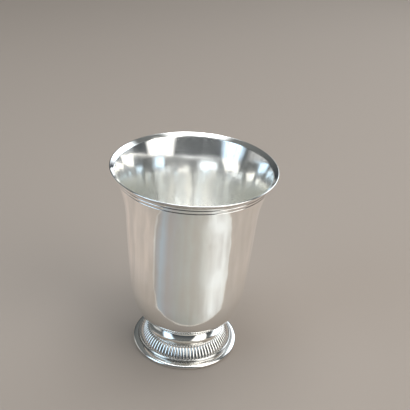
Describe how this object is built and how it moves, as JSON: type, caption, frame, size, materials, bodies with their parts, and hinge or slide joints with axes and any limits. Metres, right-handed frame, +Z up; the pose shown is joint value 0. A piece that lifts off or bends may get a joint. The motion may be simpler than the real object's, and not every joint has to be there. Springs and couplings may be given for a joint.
{
  "type": "footed beaker",
  "caption": "Footed silver beaker of tulip form: a raised bowl with a turned-out lip on a foot of a plain hollow collar, a ring of gadroons and a moulded base.",
  "frame": {"origin": "on the table, at the centre of the foot", "axes": "+Z up along the beaker's axis; the beaker is round, so X and Y are free"},
  "size_m": [0.0832, 0.0832, 0.105],
  "materials": {
    "silver": "polished",
    "solder": "polished"
  },
  "bodies": {
    "root": {"bowl": "silver", "foot_collar": "silver", "gadroon_ring": "silver", "base_moulding": "silver", "bowl_solder": "solder", "collar_solder": "solder", "base_solder": "solder"}
  },
  "joints": []
}
